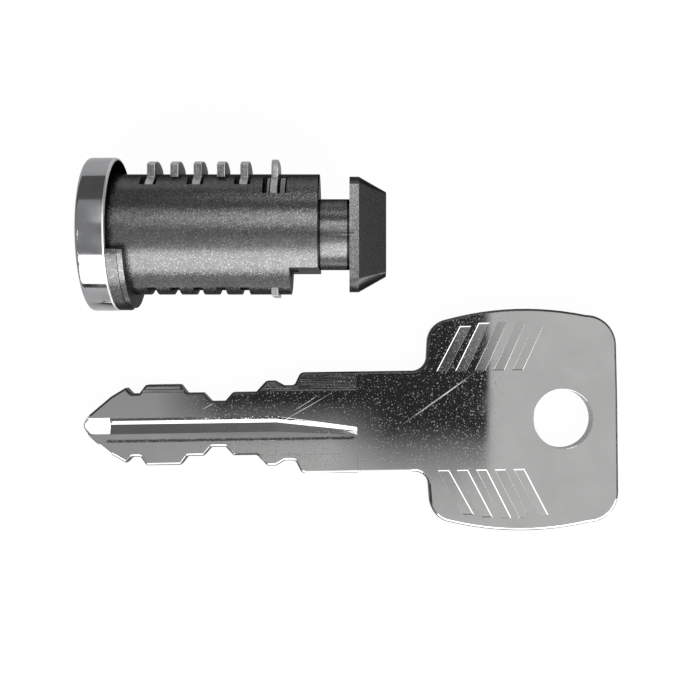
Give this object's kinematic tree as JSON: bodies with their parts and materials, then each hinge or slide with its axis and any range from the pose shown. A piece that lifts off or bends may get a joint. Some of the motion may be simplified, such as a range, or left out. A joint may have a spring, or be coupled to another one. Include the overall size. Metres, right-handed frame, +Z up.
{
  "type": "lock cylinder",
  "caption": "Disc-tumbler lock cylinder with a bright face cap, sprung wafers, a retaining wafer and a flatted driving tail, with its flat double-bitted key beside it.",
  "frame": {"origin": "on the cylinder's axis, in the plane of the face cap's rear rim, where the barrel mount is", "axes": "+X along the cylinder's axis from the face cap to the tail, +Y the way the wafers stand out, +Z up, square to the surface that the cylinder and the key lie on"},
  "size_m": [0.0613, 0.0413, 0.0164],
  "materials": {
    "zinc_casting": "fine cast, dull",
    "cap_chrome": "polished",
    "wafer_steel": "stamped",
    "retainer_steel": "bright",
    "spring_steel": "drawn",
    "shutter_steel": "stamped",
    "key_nickel": "polished nickel plate"
  },
  "bodies": {
    "lock_plug": {"plug_body": "zinc_casting", "face_cap": "cap_chrome", "shutter_pin": "spring_steel", "shutter_spring": "spring_steel", "wafer_spring_1": "spring_steel", "wafer_spring_2": "spring_steel", "wafer_spring_3": "spring_steel", "wafer_spring_4": "spring_steel", "wafer_spring_5": "spring_steel", "retainer_spring": "spring_steel"},
    "shutter": {"dust_shutter": "shutter_steel"},
    "wafer_1": {"wafer_1": "wafer_steel"},
    "wafer_2": {"wafer_2": "wafer_steel"},
    "wafer_3": {"wafer_3": "wafer_steel"},
    "wafer_4": {"wafer_4": "wafer_steel"},
    "wafer_5": {"wafer_5": "wafer_steel"},
    "retainer": {"retainer_wafer": "retainer_steel"},
    "key": {"key": "key_nickel"}
  },
  "joints": [
    {"name": "shutter_hinge", "type": "hinge", "parent": "lock_plug", "child": "shutter", "pos_m": [-0.00222, -0.0008, 0.00178], "axis": [0, -1, 0], "range_deg": [0, 90], "stiffness_Nm_per_rad": 0.0001, "springref_deg": -45.84, "deforming": ["shutter_spring"]},
    {"name": "wafer_1_slide", "type": "slide", "parent": "lock_plug", "child": "wafer_1", "axis": [0, -1, 0], "range_m": [0, 0.00338], "stiffness_N_per_m": 100, "springref_m": -0.0015, "deforming": ["wafer_spring_1"]},
    {"name": "wafer_2_slide", "type": "slide", "parent": "lock_plug", "child": "wafer_2", "axis": [0, -1, 0], "range_m": [0, 0.00338], "stiffness_N_per_m": 100, "springref_m": -0.0015, "deforming": ["wafer_spring_2"]},
    {"name": "wafer_3_slide", "type": "slide", "parent": "lock_plug", "child": "wafer_3", "axis": [0, -1, 0], "range_m": [0, 0.00338], "stiffness_N_per_m": 100, "springref_m": -0.0015, "deforming": ["wafer_spring_3"]},
    {"name": "wafer_4_slide", "type": "slide", "parent": "lock_plug", "child": "wafer_4", "axis": [0, -1, 0], "range_m": [0, 0.00338], "stiffness_N_per_m": 100, "springref_m": -0.0015, "deforming": ["wafer_spring_4"]},
    {"name": "wafer_5_slide", "type": "slide", "parent": "lock_plug", "child": "wafer_5", "axis": [0, -1, 0], "range_m": [0, 0.00338], "stiffness_N_per_m": 100, "springref_m": -0.0015, "deforming": ["wafer_spring_5"]},
    {"name": "retainer_slide", "type": "slide", "parent": "lock_plug", "child": "retainer", "axis": [0, -1, 0], "range_m": [0, 0.00138], "stiffness_N_per_m": 300, "springref_m": -0.0015, "deforming": ["retainer_spring"]},
    {"name": "key_lift", "type": "slide", "parent": "lock_plug", "child": "key", "axis": [0, 0, 1], "range_m": [0, 0.03]}
  ]
}
